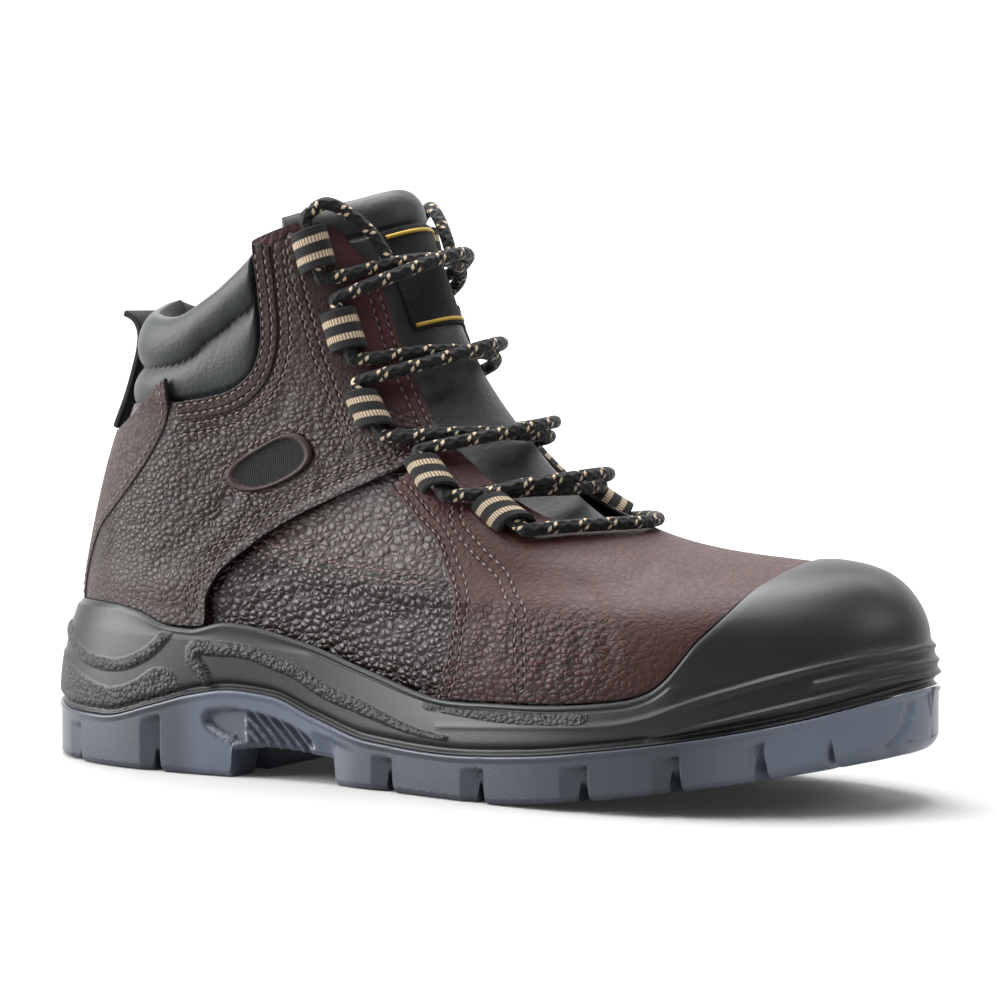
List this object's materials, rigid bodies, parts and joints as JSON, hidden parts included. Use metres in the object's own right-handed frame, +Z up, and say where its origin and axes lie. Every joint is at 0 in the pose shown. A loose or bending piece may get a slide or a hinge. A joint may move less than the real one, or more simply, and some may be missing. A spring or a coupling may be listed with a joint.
{
  "type": "safety boot",
  "caption": "Ankle-height lace-up safety boot for the right foot, with a padded collar, webbing lace loops, a moulded scuff cap over the toe and a lugged two-layer sole.",
  "frame": {"origin": "middle of the boot's footprint box, on the floor", "axes": "+X towards the toe, +Y towards the medial side, +Z up; the lateral side is at -Y"},
  "size_m": [0.309, 0.1104, 0.187],
  "materials": {
    "upper_leather": "heavily tumbled dark brown leather, satin",
    "quarter_leather": "tumbled dark brown leather, satin",
    "vamp_leather": "smooth reddish brown leather, satin",
    "brushed_leather": "matt brushed brown leather",
    "collar_cloth": "soft charcoal coated fabric, satin",
    "black_webbing": "black webbing, matt, with pale cross threads on the lace loops",
    "midsole_rubber": "charcoal moulded foam, matt",
    "outsole_rubber": "blue-grey tread, satin",
    "footbed_felt": "dark felt, matt",
    "lace_cord": "black round cord with pale flecks, matt"
  },
  "bodies": {
    "root": {"outsole": "outsole_rubber", "midsole": "midsole_rubber", "insole": "footbed_felt", "upper": "upper_leather", "vamp": "vamp_leather", "quarter_lateral": "quarter_leather", "quarter_medial": "quarter_leather", "backstay": "brushed_leather", "collar_pad": "collar_cloth", "tongue": "collar_cloth", "tongue_label": "black_webbing", "side_badge": "black_webbing", "pull_loop": "black_webbing", "lace_loop_lateral_1": "black_webbing", "lace_loop_lateral_2": "black_webbing", "lace_loop_lateral_3": "black_webbing", "lace_loop_lateral_4": "black_webbing", "lace_loop_lateral_5": "black_webbing", "lace_loop_medial_1": "black_webbing", "lace_loop_medial_2": "black_webbing", "lace_loop_medial_3": "black_webbing", "lace_loop_medial_4": "black_webbing", "lace_loop_medial_5": "black_webbing", "lace": "lace_cord"}
  },
  "joints": []
}
